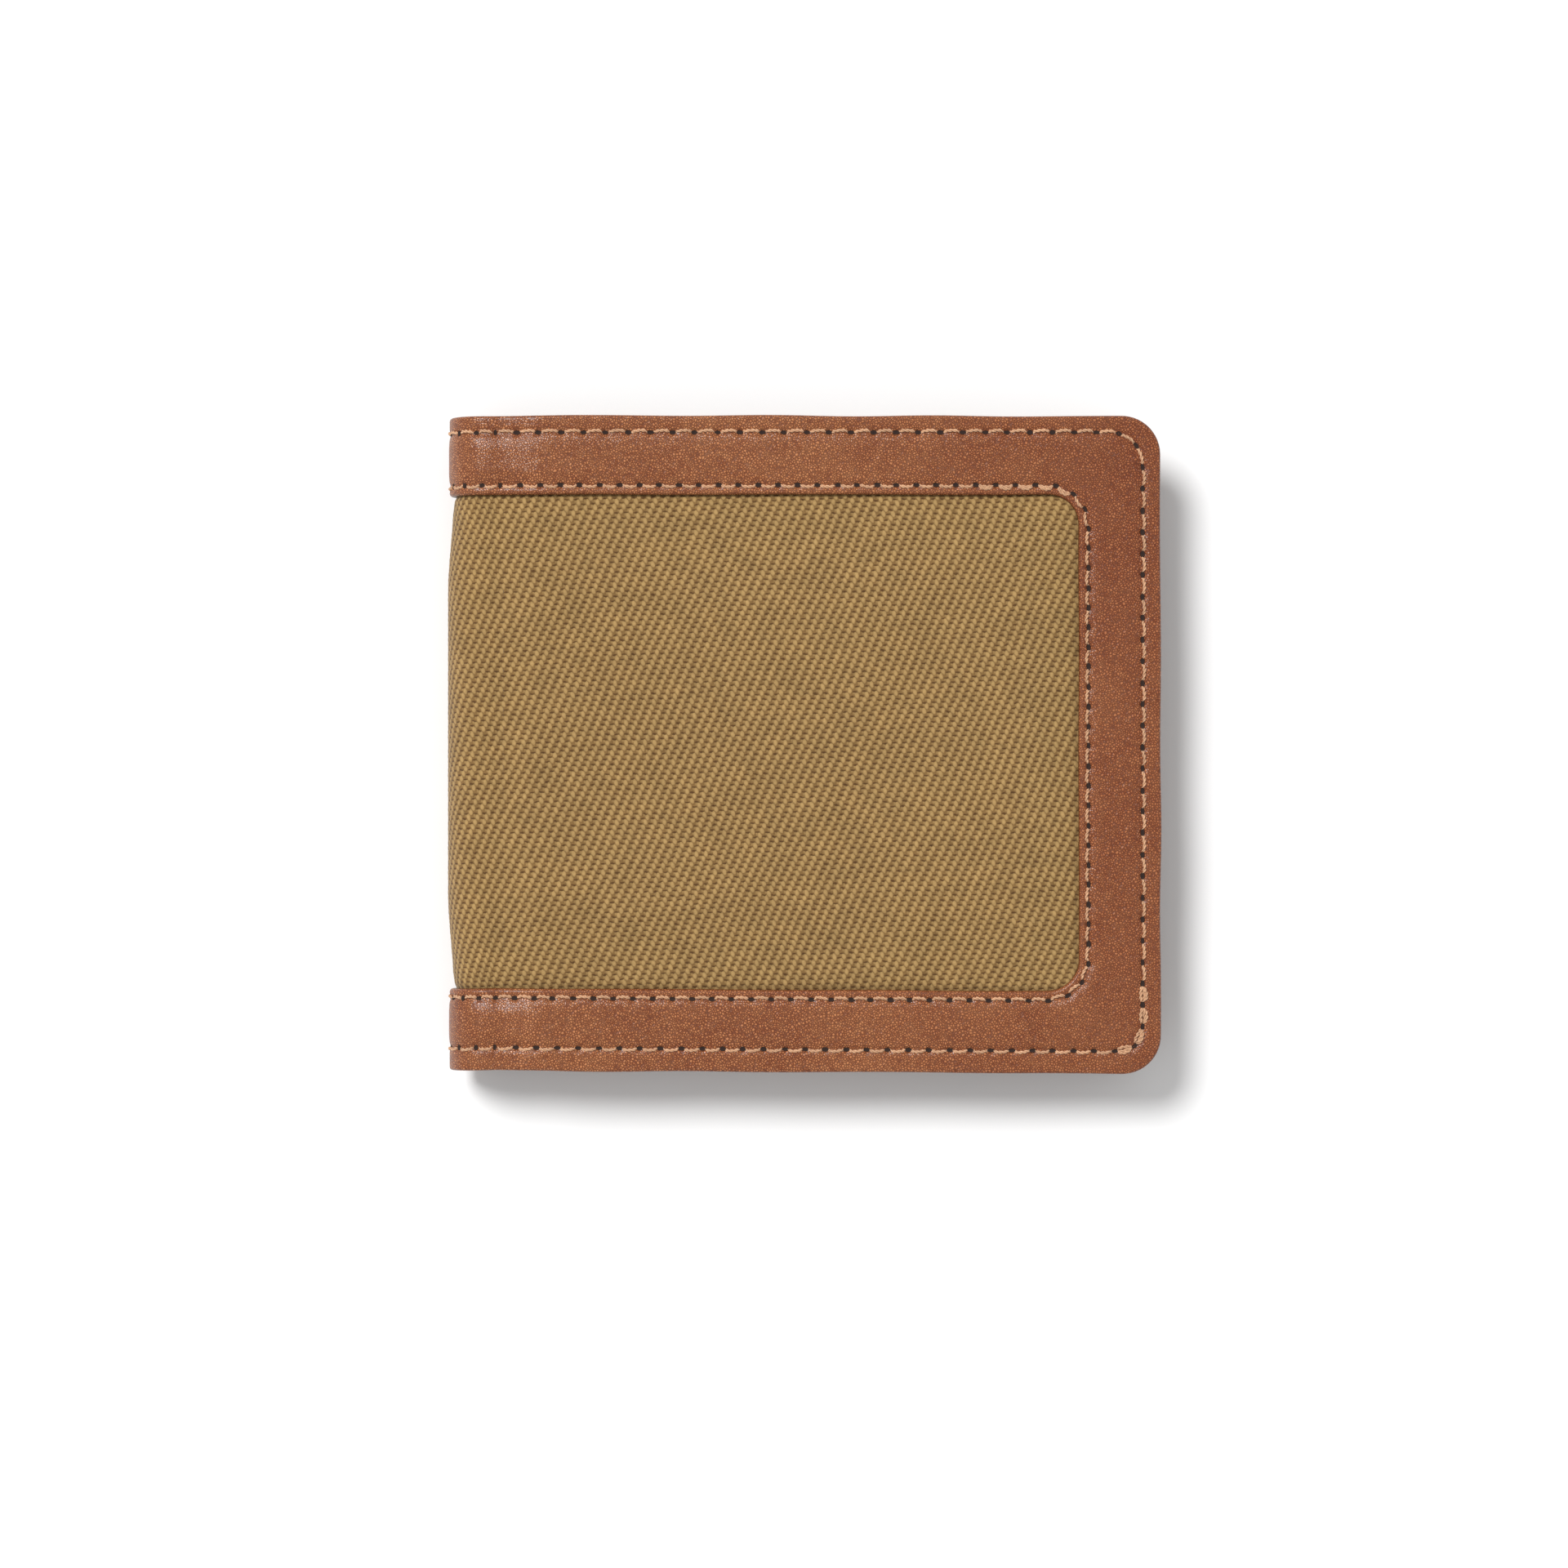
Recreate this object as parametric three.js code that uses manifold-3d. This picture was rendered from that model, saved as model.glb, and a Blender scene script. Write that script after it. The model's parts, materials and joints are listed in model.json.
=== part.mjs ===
// A bifold wallet, closed and lying flat on its back cover.
// Each cover is a stack of thin layers: a leather frame, a twill panel that shows through the
// frame's window, a foam interlining, a lining, and a card panel with three stepped pockets.
// The two covers are joined by a soft rounded spine, cut along its middle into a lower and an
// upper quarter, so it can unroll about three fold lines as the wallet opens.
// Millimetres. +X is the fore edge, -X the spine, +Y the open top edge, +Z the front cover.
import * as THREE from "three";
import { mergeVertices } from "three/addons/utils/BufferGeometryUtils.js";
import Module from "manifold-3d";

const wasm = await Module();
wasm.setup();

// ---- overall size ----
const WIDTH = 110;
const HEIGHT = 101.5;
const THICKNESS = 15;
const FORE_X = WIDTH / 2;
const TOP_Y = HEIGHT / 2;
const OUTER_CORNER_R = 6;

// ---- spine: a half round between the covers, hinged at both ends and in the middle ----
const SPINE_R = THICKNESS / 2;
const SPINE_X = -WIDTH / 2 + SPINE_R;
const QUARTER = Math.PI / 2;
const FACETS_PER_QUARTER = 6;
const FOLD_GAP = 0.35;
const CUT_X = SPINE_X + FOLD_GAP / 2;

// ---- leather frame: widths of its three bands, and the window between them ----
const TOP_BAND = 12.2;
const BOTTOM_BAND = 12.8;
const FORE_BAND = 12.6;
const WINDOW_TOP = TOP_Y - TOP_BAND;
const WINDOW_BOTTOM = -TOP_Y + BOTTOM_BAND;
const WINDOW_FORE = FORE_X - FORE_BAND;
const WINDOW_R = 4.8;
const EDGE_ROUND = 0.4;

// ---- layers of a cover, as depths below its outer face ----
const LEATHER = { from: 0, to: 1.3 };
const TWILL = { from: 1.45, to: 2.2 };
const TWILL_FIELD = { from: 0.35, to: 1.1 };
const INTERLINING = { from: 2.35, to: 2.7 };
const INTERLINING_FIELD_FROM = 1.25;
const LINING = { from: 2.85, to: 3.15 };
const HEM = { from: 3.3, to: 3.95 };
const DIVIDER = { from: 3.95, to: 4.55 };
const POCKETS = [
  { from: 4.7, to: 5.3, top: 34 },
  { from: 5.45, to: 6.05, top: 22 },
  { from: 6.2, to: 6.8, top: 10 },
];

// ---- outlines of the inner layers, measured in from the cover's edge ----
const TWILL_INSET = 1.2;
const INTERLINING_INSET = 4.5;
const INTERLINING_FROM_CUT = 1;
const LINING_INSET = 0.8;
const PANEL_INSET = 0.8;
const PANEL_SPINE_X = -44;
const DIVIDER_TOP = 46.5;
const HEM_WIDTH = 4;
const PANEL_CORNER_R = 1.5;
const LAYER_GAP = 0.15;
const TWILL_WALL = TWILL.to - TWILL.from;

// ---- stitching ----
const SEAM_TOP = 2.6;
const SEAM_FORE = 2.8;
const SEAM_BOTTOM = 3.6;
const SEAM_LOW_CORNER_R = 3.4;
const SEAM_HIGH_CORNER_R = 5;
const WINDOW_SEAM = 1.5;
const OUTER_PITCH = 3.4;
const WINDOW_PITCH = 3.05;
const THREAD_WIDTH = 0.55;
const THREAD_FLOOR = 0.6;
const THREAD_CREST = 0.1;
const THREAD_DIP = 0.42;
const GROOVE_WIDTH = 1.15;
const GROOVE_DEPTH = 0.7;

const CURVE_SEGMENTS = 8;
const OVERCUT = 3;

// ---- solids ----
function solidOf(geometry) {
  const bare = geometry.index ? geometry.toNonIndexed() : geometry.clone();
  bare.deleteAttribute("normal");
  bare.deleteAttribute("uv");
  const merged = mergeVertices(bare, 1e-4);
  return new wasm.Manifold(
    new wasm.Mesh({
      numProp: 3,
      vertProperties: merged.attributes.position.array,
      triVerts: new Uint32Array(merged.index.array),
    }),
  );
}

function geometryOf(solid) {
  const mesh = solid.getMesh();
  const positions = new Float32Array(mesh.numVert * 3);
  for (let i = 0; i < mesh.numVert; i++) {
    positions.set(mesh.vertProperties.subarray(i * mesh.numProp, i * mesh.numProp + 3), i * 3);
  }
  const geometry = new THREE.BufferGeometry()
    .setAttribute("position", new THREE.BufferAttribute(positions, 3))
    .setIndex(new THREE.BufferAttribute(mesh.triVerts, 1))
    .toNonIndexed();
  geometry.computeVertexNormals();
  return geometry;
}

function box(x0, x1, y0, y1, z0, z1) {
  const geometry = new THREE.BoxGeometry(x1 - x0, y1 - y0, z1 - z0);
  return solidOf(geometry.translate((x0 + x1) / 2, (y0 + y1) / 2, (z0 + z1) / 2));
}

// A flat layer between two depths, with its edges rounded over by `round`.
function layer(shape, from, to, round = 0) {
  const geometry = new THREE.ExtrudeGeometry(shape, {
    depth: to - from - 2 * round,
    curveSegments: CURVE_SEGMENTS,
    bevelEnabled: round > 0,
    bevelThickness: round,
    bevelSize: round,
    bevelOffset: -round,
    bevelSegments: 2,
  });
  return solidOf(geometry.translate(0, 0, from + round));
}

// Everything on the fore side of the line where a cover meets the spine.
function trimmedAtSpine(solid, x = CUT_X) {
  return solid.intersect(box(x, FORE_X + OVERCUT, -HEIGHT, HEIGHT, -THICKNESS, THICKNESS));
}

// ---- outlines ----
// A rectangle with its two fore-edge corners rounded.
function foreRounded(x0, x1, y0, y1, r) {
  const shape = new THREE.Shape();
  shape.moveTo(x0, y0);
  shape.lineTo(x1 - r, y0);
  shape.absarc(x1 - r, y0 + r, r, -Math.PI / 2, 0);
  shape.lineTo(x1, y1 - r);
  shape.absarc(x1 - r, y1 - r, r, 0, Math.PI / 2);
  shape.lineTo(x0, y1);
  shape.closePath();
  return shape;
}

function coverOutline(inset, x0 = CUT_X - OVERCUT) {
  return foreRounded(
    x0,
    FORE_X - inset,
    -TOP_Y + inset,
    TOP_Y - inset,
    Math.max(OUTER_CORNER_R - inset, 1),
  );
}

function windowOutline(inset, x0 = CUT_X - OVERCUT) {
  return foreRounded(
    x0,
    WINDOW_FORE - inset,
    WINDOW_BOTTOM + inset,
    WINDOW_TOP - inset,
    WINDOW_R - inset,
  );
}

// The C-shaped outline of the one-piece leather frame, open towards the spine.
function frameOutline() {
  const x0 = CUT_X - OVERCUT;
  const shape = new THREE.Shape();
  shape.moveTo(x0, -TOP_Y);
  shape.lineTo(FORE_X - OUTER_CORNER_R, -TOP_Y);
  shape.absarc(FORE_X - OUTER_CORNER_R, -TOP_Y + OUTER_CORNER_R, OUTER_CORNER_R, -Math.PI / 2, 0);
  shape.lineTo(FORE_X, TOP_Y - OUTER_CORNER_R);
  shape.absarc(FORE_X - OUTER_CORNER_R, TOP_Y - OUTER_CORNER_R, OUTER_CORNER_R, 0, Math.PI / 2);
  shape.lineTo(x0, TOP_Y);
  shape.lineTo(x0, WINDOW_TOP);
  shape.lineTo(WINDOW_FORE - WINDOW_R, WINDOW_TOP);
  shape.absarc(WINDOW_FORE - WINDOW_R, WINDOW_TOP - WINDOW_R, WINDOW_R, Math.PI / 2, 0, true);
  shape.lineTo(WINDOW_FORE, WINDOW_BOTTOM + WINDOW_R);
  shape.absarc(
    WINDOW_FORE - WINDOW_R,
    WINDOW_BOTTOM + WINDOW_R,
    WINDOW_R,
    0,
    -Math.PI / 2,
    true,
  );
  shape.lineTo(x0, WINDOW_BOTTOM);
  shape.closePath();
  return shape;
}

// The line a C-shaped seam follows, from the spine along the bottom, fore edge and top.
function seamPath(x0, x1, y0, y1, lowR, highR) {
  const path = new THREE.Path();
  path.moveTo(x0, y0);
  path.lineTo(x1 - lowR, y0);
  path.absarc(x1 - lowR, y0 + lowR, lowR, -Math.PI / 2, 0);
  path.lineTo(x1, y1 - highR);
  path.absarc(x1 - highR, y1 - highR, highR, 0, Math.PI / 2);
  path.lineTo(x0, y1);
  return path;
}

function outerSeam(x0) {
  return seamPath(
    x0,
    FORE_X - SEAM_FORE,
    -TOP_Y + SEAM_BOTTOM,
    TOP_Y - SEAM_TOP,
    SEAM_LOW_CORNER_R,
    SEAM_HIGH_CORNER_R,
  );
}

function windowSeam(x0) {
  return seamPath(
    x0,
    WINDOW_FORE + WINDOW_SEAM,
    WINDOW_BOTTOM - WINDOW_SEAM,
    WINDOW_TOP + WINDOW_SEAM,
    WINDOW_R + WINDOW_SEAM,
    WINDOW_R + WINDOW_SEAM,
  );
}

// ---- ribbons: a rectangular section carried along a flat line ----
// stations: [{ x, y, tx, ty, top }] with a unit tangent and the depth of the upper face.
function ribbon(stations, width, floor) {
  const positions = [];
  const ring = ({ x, y, tx, ty, top }) => {
    const [nx, ny] = [(-ty * width) / 2, (tx * width) / 2];
    return [
      [x - nx, y - ny, top],
      [x + nx, y + ny, top],
      [x + nx, y + ny, floor],
      [x - nx, y - ny, floor],
    ];
  };
  const quad = (a, b, c, d) => positions.push(...a, ...b, ...c, ...a, ...c, ...d);
  const rings = stations.map(ring);
  for (let i = 0; i + 1 < rings.length; i++) {
    for (let side = 0; side < 4; side++) {
      const next = (side + 1) % 4;
      quad(rings[i][side], rings[i][next], rings[i + 1][next], rings[i + 1][side]);
    }
  }
  const [first, last] = [rings[0], rings[rings.length - 1]];
  quad(first[3], first[2], first[1], first[0]);
  quad(last[0], last[1], last[2], last[3]);
  const solid = solidOf(
    new THREE.BufferGeometry().setAttribute(
      "position",
      new THREE.BufferAttribute(new Float32Array(positions), 3),
    ),
  );
  return solid;
}

function grooveCutter(path) {
  const points = path.getPoints(CURVE_SEGMENTS);
  const stations = points.map((p, i) => {
    const before = points[Math.max(i - 1, 0)];
    const after = points[Math.min(i + 1, points.length - 1)];
    const into = p.clone().sub(before).normalize();
    const out = after.clone().sub(p).normalize();
    const tangent = into.add(out).normalize();
    return { x: p.x, y: p.y, tx: tangent.x, ty: tangent.y, top: -OVERCUT };
  });
  return ribbon(stations, GROOVE_WIDTH, GROOVE_DEPTH);
}

// A sewing thread lying in its groove: crests between the needle holes, dips at them.
function thread(path, pitch) {
  const stitches = Math.round(path.getLength() / pitch);
  const stations = [];
  for (let i = 0; i <= 2 * stitches; i++) {
    const at = i / (2 * stitches);
    const p = path.getPointAt(at);
    const t = path.getTangentAt(at);
    const top = i % 2 ? THREAD_CREST : THREAD_DIP;
    stations.push({ x: p.x, y: p.y, tx: t.x, ty: t.y, top });
  }
  return ribbon(stations, THREAD_WIDTH, THREAD_FLOOR);
}

// ---- materials ----
function leather() {
  return new THREE.MeshStandardMaterial({ color: 0x97634a, roughness: 0.62, metalness: 0 });
}

function twillCloth() {
  return new THREE.MeshStandardMaterial({ color: 0x99794e, roughness: 0.92, metalness: 0 });
}

function foam() {
  return new THREE.MeshStandardMaterial({ color: 0xd8d2c4, roughness: 1, metalness: 0 });
}

function liningCloth() {
  return new THREE.MeshStandardMaterial({ color: 0x6b4e38, roughness: 0.9, metalness: 0 });
}

function sewingThread() {
  return new THREE.MeshStandardMaterial({ color: 0xd6ad85, roughness: 0.7, metalness: 0 });
}

function piece(name, solid, material) {
  const mesh = new THREE.Mesh(geometryOf(solid), material);
  mesh.name = name;
  return mesh;
}

// ---- a cover, built with its outer face at z = 0 and its layers above it ----
function leatherFrame() {
  const plain = layer(frameOutline(), LEATHER.from, LEATHER.to, EDGE_ROUND);
  const grooved = plain
    .subtract(grooveCutter(outerSeam(CUT_X - OVERCUT)))
    .subtract(grooveCutter(windowSeam(CUT_X - OVERCUT)));
  return trimmedAtSpine(grooved);
}

// Twill pressed into a shallow tray, so its middle field stands up into the frame's window.
function twillPanel() {
  const field = layer(windowOutline(LAYER_GAP), TWILL_FIELD.from, TWILL.to, EDGE_ROUND / 2);
  const hollow = layer(
    windowOutline(LAYER_GAP + TWILL_WALL),
    TWILL_FIELD.to,
    TWILL.to + OVERCUT,
  );
  return trimmedAtSpine(
    layer(coverOutline(TWILL_INSET), TWILL.from, TWILL.to).add(field).subtract(hollow),
  );
}

function interlining() {
  const field = layer(
    windowOutline(2 * LAYER_GAP + TWILL_WALL),
    INTERLINING_FIELD_FROM,
    INTERLINING.to,
  );
  const sheet = layer(coverOutline(INTERLINING_INSET), INTERLINING.from, INTERLINING.to);
  return trimmedAtSpine(sheet.add(field), CUT_X + INTERLINING_FROM_CUT);
}

function lining() {
  return layer(coverOutline(LINING_INSET, CUT_X), LINING.from, LINING.to);
}

function panel(top, from, to) {
  const shape = foreRounded(
    PANEL_SPINE_X,
    FORE_X - PANEL_INSET,
    -TOP_Y + PANEL_INSET,
    top,
    PANEL_CORNER_R,
  );
  return layer(shape, from, to);
}

// The card panel, with the hem along its bottom and fore edges that holds it off the lining.
function divider() {
  const hem = panel(DIVIDER_TOP, HEM.from, DIVIDER.to).subtract(
    box(
      PANEL_SPINE_X - OVERCUT,
      FORE_X - PANEL_INSET - HEM_WIDTH,
      -TOP_Y + PANEL_INSET + HEM_WIDTH,
      DIVIDER_TOP + OVERCUT,
      HEM.from - OVERCUT,
      DIVIDER.from,
    ),
  );
  return hem;
}

function cover(side) {
  const group = new THREE.Group();
  group.name = `${side}_half`;
  group.add(
    piece(`${side}_leather_frame`, leatherFrame(), leather()),
    piece(`${side}_outer_seam`, thread(outerSeam(CUT_X), OUTER_PITCH), sewingThread()),
    piece(`${side}_window_seam`, thread(windowSeam(CUT_X), WINDOW_PITCH), sewingThread()),
    piece(`${side}_twill_panel`, twillPanel(), twillCloth()),
    piece(`${side}_interlining`, interlining(), foam()),
    piece(`${side}_lining`, lining(), liningCloth()),
    piece(`${side}_bill_divider`, divider(), leather()),
  );
  POCKETS.forEach(({ from, to, top }, i) => {
    group.add(piece(`${side}_card_pocket_${i + 1}`, panel(top, from, to), leather()));
  });
  return group;
}

// ---- a quarter of the spine ----
// A curved layer between two depths and two heights. quarter 0 starts at the back cover and
// quarter 1 ends at the front cover; angles run round the spine from straight down.
function curvedLayer(quarter, from, to, y0, y1) {
  const gapAngle = FOLD_GAP / 2 / SPINE_R;
  const start = quarter * QUARTER + gapAngle;
  const step = (QUARTER - 2 * gapAngle) / FACETS_PER_QUARTER;
  const at = (depth, k) => {
    const angle = start + k * step;
    const r = SPINE_R - depth;
    return [SPINE_X - r * Math.sin(angle), SPINE_R - r * Math.cos(angle)];
  };
  const section = new THREE.Shape();
  section.moveTo(...at(from, 0));
  for (let k = 1; k <= FACETS_PER_QUARTER; k++) {
    section.lineTo(...at(from, k));
  }
  for (let k = FACETS_PER_QUARTER; k >= 0; k--) {
    section.lineTo(...at(to, k));
  }
  section.closePath();
  const geometry = new THREE.ExtrudeGeometry(section, { depth: y1 - y0, bevelEnabled: false });
  return solidOf(geometry.rotateX(Math.PI / 2).translate(0, y1, 0));
}

// The twill stands up between the leather bands as it does on the covers.
function spineTwill(quarter) {
  const wall = LAYER_GAP + TWILL_WALL;
  const base = curvedLayer(
    quarter,
    TWILL.from,
    TWILL.to,
    -TOP_Y + TWILL_INSET,
    TOP_Y - TWILL_INSET,
  );
  const edgeWall = (y0, y1) => curvedLayer(quarter, TWILL_FIELD.from, TWILL.to, y0, y1);
  const field = curvedLayer(
    quarter,
    TWILL_FIELD.from,
    TWILL_FIELD.to,
    WINDOW_BOTTOM + LAYER_GAP,
    WINDOW_TOP - LAYER_GAP,
  );
  const middle = box(
    -WIDTH,
    WIDTH,
    WINDOW_BOTTOM + wall,
    WINDOW_TOP - wall,
    -THICKNESS,
    2 * THICKNESS,
  );
  return base
    .subtract(middle)
    .add(edgeWall(WINDOW_BOTTOM + LAYER_GAP, WINDOW_BOTTOM + wall + LAYER_GAP))
    .add(edgeWall(WINDOW_TOP - wall - LAYER_GAP, WINDOW_TOP - LAYER_GAP))
    .add(field);
}

function spineQuarter(name, quarter) {
  const group = new THREE.Group();
  group.name = name;
  group.add(
    piece(
      `${name}_leather_top`,
      curvedLayer(quarter, LEATHER.from, LEATHER.to, WINDOW_TOP, TOP_Y),
      leather(),
    ),
    piece(
      `${name}_leather_bottom`,
      curvedLayer(quarter, LEATHER.from, LEATHER.to, -TOP_Y, WINDOW_BOTTOM),
      leather(),
    ),
    piece(`${name}_twill`, spineTwill(quarter), twillCloth()),
    piece(
      `${name}_lining`,
      curvedLayer(
        quarter,
        LINING.from,
        LINING.to,
        -TOP_Y + LINING_INSET,
        TOP_Y - LINING_INSET,
      ),
      liningCloth(),
    ),
  );
  return group;
}

// ---- the wallet ----
const wallet = new THREE.Group();
wallet.name = "bifold_wallet";
wallet.add(cover("back"));
const front = cover("front");
front.scale.z = -1;
front.position.z = THICKNESS;
wallet.add(front);
wallet.add(spineQuarter("spine_lower", 0));
wallet.add(spineQuarter("spine_upper", 1));

export default wallet;
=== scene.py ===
import json
import math

import bpy
import numpy as np
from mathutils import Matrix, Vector

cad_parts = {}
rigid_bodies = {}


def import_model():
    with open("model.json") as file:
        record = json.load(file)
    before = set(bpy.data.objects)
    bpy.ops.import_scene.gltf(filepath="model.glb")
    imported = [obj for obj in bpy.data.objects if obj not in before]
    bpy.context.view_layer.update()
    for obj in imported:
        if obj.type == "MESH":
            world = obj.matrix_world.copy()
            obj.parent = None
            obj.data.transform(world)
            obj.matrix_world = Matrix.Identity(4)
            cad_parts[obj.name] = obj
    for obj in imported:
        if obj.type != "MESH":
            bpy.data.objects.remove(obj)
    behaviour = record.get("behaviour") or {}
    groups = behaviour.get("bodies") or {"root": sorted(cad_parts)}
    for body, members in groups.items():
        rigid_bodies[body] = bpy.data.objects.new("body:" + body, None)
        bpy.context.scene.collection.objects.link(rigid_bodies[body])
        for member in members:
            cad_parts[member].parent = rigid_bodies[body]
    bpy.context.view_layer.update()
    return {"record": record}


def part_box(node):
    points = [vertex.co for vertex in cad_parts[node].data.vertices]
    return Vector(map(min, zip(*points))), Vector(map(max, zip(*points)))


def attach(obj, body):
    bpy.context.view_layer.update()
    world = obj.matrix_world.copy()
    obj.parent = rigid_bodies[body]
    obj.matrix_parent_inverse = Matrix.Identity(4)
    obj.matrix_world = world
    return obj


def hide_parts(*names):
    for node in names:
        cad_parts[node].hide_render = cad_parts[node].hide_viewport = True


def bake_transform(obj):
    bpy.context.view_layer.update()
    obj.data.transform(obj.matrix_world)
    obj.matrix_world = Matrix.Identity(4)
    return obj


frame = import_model()

MM = 0.001


def node_box(node):
    low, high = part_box(node)
    return np.array(low) / MM, np.array(high) / MM


# ---------------------------------------------------------------- sizes, in millimetres
FRAME_HIGH = node_box("back_leather_frame")[1]
FORE_X = FRAME_HIGH[0]
TOP_Y = FRAME_HIGH[1]
THICKNESS = node_box("front_leather_frame")[1][2]
JOINTS = frame["record"]["behaviour"]["joints"]
SPINE_X = JOINTS[0]["pos_m"][0] / MM
LENGTH = FORE_X - SPINE_X
SPINE_R = THICKNESS / 2
ARC = math.pi * SPINE_R
QUARTERS = len(JOINTS) - 1
QUARTER_ARC = ARC / QUARTERS

TOP_BAND = 12.2
BOTTOM_BAND = 12.8
FORE_BAND = 12.6
WINDOW_TOP = TOP_Y - TOP_BAND
WINDOW_BOTTOM = -TOP_Y + BOTTOM_BAND
WINDOW_S = LENGTH - FORE_BAND
WINDOW_R = 4.8
CORNER_R = 6.0
SPLIT_S = 1.2
LEATHER_T = 1.3
LIP_R = 0.62
RIM_R = 0.5

OUTER_INSETS = {"bottom": 3.6, "fore": 2.8, "top": 2.6}
WINDOW_INSET = 1.5
# each seam row as (fore limit, bottom, top, lower corner radius, upper corner radius)
ROWS = {
    "outer": (
        LENGTH - OUTER_INSETS["fore"],
        -TOP_Y + OUTER_INSETS["bottom"],
        TOP_Y - OUTER_INSETS["top"],
        3.4,
        5.0,
    ),
    "window": (
        WINDOW_S + WINDOW_INSET,
        WINDOW_BOTTOM - WINDOW_INSET,
        WINDOW_TOP + WINDOW_INSET,
        WINDOW_R + WINDOW_INSET,
        WINDOW_R + WINDOW_INSET,
    ),
}
OUTER_PITCHES = {"bottom": 3.18, "fore": 3.31, "top": 3.44}
WINDOW_PITCH = 3.05
SPINE_PITCHES = {"outer": 3.3, "window": WINDOW_PITCH}
VALLEY = 0.2
VALLEY_W = 0.5
PIT = 0.26
SPINE_PIT = PIT * 0.7
PIT_R = 0.45
THREAD_R = 0.155
THREAD_TWIST_R = 0.125

LIFT = 1.0
LIFT_REACH = 7.5
SAG = 0.62


# ---------------------------------------------------------------- the folded skin
def smooth(x):
    x = np.clip(x, 0, 1)
    return x * x * (3 - 2 * x)


def skin(u, y, depth):
    """A point u along the wallet's outer skin, from the back cover (u < 0) round the spine to
    the front cover (u > ARC), at height y and at a depth below the outer face, in mm."""
    u, y, depth = np.broadcast_arrays(*(np.asarray(a, float) for a in (u, y, depth)))
    near_end = np.minimum(np.abs(u), np.abs(u - ARC)) / LIFT_REACH
    d = depth + LIFT * (1 - smooth(near_end))
    phi = np.clip(u / SPINE_R, 0, math.pi)
    flat = np.maximum(-u, 0) + np.maximum(u - ARC, 0)
    x = SPINE_X - (SPINE_R - d) * np.sin(phi) + flat
    z = SPINE_R - (SPINE_R - d) * np.cos(phi)
    # the front cover's bottom edge runs out slightly towards the fore edge
    front = np.clip(u / ARC, 0, 1)
    sag = SAG * front * np.clip(-y / TOP_Y, 0, 1) * (1 - np.clip(flat / LENGTH, 0, 1))
    return np.stack([x, y + sag, z], -1)


def rounded_off(e, r):
    """How far an edge of radius r has fallen away at a distance e in from it."""
    return r - np.sqrt(np.clip(r**2 - np.clip(r - e, 0, None) ** 2, 0, None))


class Half:
    """Where a cover's own coordinates (s from the fold, y, depth) lie on the skin."""

    def __init__(self, side):
        self.side = side
        self.body = f"{side}_half"
        self.turn = side == "front"

    def u(self, s):
        return ARC + s if self.turn else -s

    def place(self, s, y, depth):
        return skin(self.u(np.asarray(s, float)), y, depth)


HALVES = [Half("back"), Half("front")]


def ripple(t, seed, amount, waves=5):
    """A slow irregular wobble along t."""
    local = np.random.default_rng(seed)
    out = np.zeros_like(t)
    for k in range(waves):
        out += local.normal() * np.sin(t * (0.05 + 0.06 * k) + local.uniform(0, 2 * math.pi))
    return amount * out / math.sqrt(waves)


# ---------------------------------------------------------------- meshes
def make_mesh(name, points, quads, material, attributes=None, tris=None):
    faces = [np.asarray(quads, np.int32).reshape(-1, 4)]
    loops = faces[0].ravel()
    starts = np.arange(0, len(loops), 4)
    if tris is not None and len(tris):
        tri = np.asarray(tris, np.int32).reshape(-1, 3)
        starts = np.concatenate([starts, len(loops) + np.arange(0, tri.size, 3)])
        loops = np.concatenate([loops, tri.ravel()])
    mesh = bpy.data.meshes.new(name)
    mesh.vertices.add(len(points))
    mesh.vertices.foreach_set("co", (np.asarray(points) * MM).astype(np.float32).ravel())
    mesh.loops.add(len(loops))
    mesh.loops.foreach_set("vertex_index", loops.astype(np.int32))
    mesh.polygons.add(len(starts))
    mesh.polygons.foreach_set("loop_start", starts.astype(np.int32))
    for key, values in (attributes or {}).items():
        values = np.asarray(values, np.float32)
        kind = "FLOAT" if values.ndim == 1 else "FLOAT_VECTOR"
        layer = mesh.attributes.new(key, kind, "POINT")
        layer.data.foreach_set("value" if values.ndim == 1 else "vector", values.ravel())
    mesh.update(calc_edges=True)
    mesh.validate()
    mesh.polygons.foreach_set("use_smooth", np.ones(len(mesh.polygons), bool))
    mesh.materials.append(material)
    obj = bpy.data.objects.new(name, mesh)
    bpy.context.collection.objects.link(obj)
    return obj


def grid_quads(rows, columns, base=0, flip=False, wrap=False):
    """Quads of a rows x columns grid of vertices; wrap joins the last column to the first."""
    i = np.arange(rows - 1)[:, None]
    j = np.arange(columns if wrap else columns - 1)[None]
    k = (j + 1) % columns
    q = np.stack([i * columns + j, i * columns + k, (i + 1) * columns + k, (i + 1) * columns + j], -1)
    q = q.reshape(-1, 4) + base
    return q[:, ::-1] if flip else q


def grid_rim(rows, columns):
    """The outermost vertices of a rows x columns grid, in order round it."""
    return np.concatenate(
        [
            np.arange(columns),
            (np.arange(rows - 2) + 1) * columns + columns - 1,
            (rows - 1) * columns + np.arange(columns)[::-1],
            (np.arange(rows - 2)[::-1] + 1) * columns,
        ]
    )


# ---------------------------------------------------------------- the leather frame
def arc_points(cx, cy, r, a0, a1, n):
    a = np.linspace(a0, a1, n)
    return np.stack([cx + r * np.cos(a), cy + r * np.sin(a)], -1)


def resample(points, n):
    step = np.linalg.norm(np.diff(points, axis=0), axis=1)
    along = np.concatenate([[0], np.cumsum(step)])
    at = np.linspace(0, along[-1], n)
    return np.stack([np.interp(at, along, points[:, k]) for k in (0, 1)], -1)


FRAME_STEP = 0.3
CORNER_POINTS = 44
OUTER_ARC_POINTS = 24
S_IN = WINDOW_S - WINDOW_R


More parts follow.
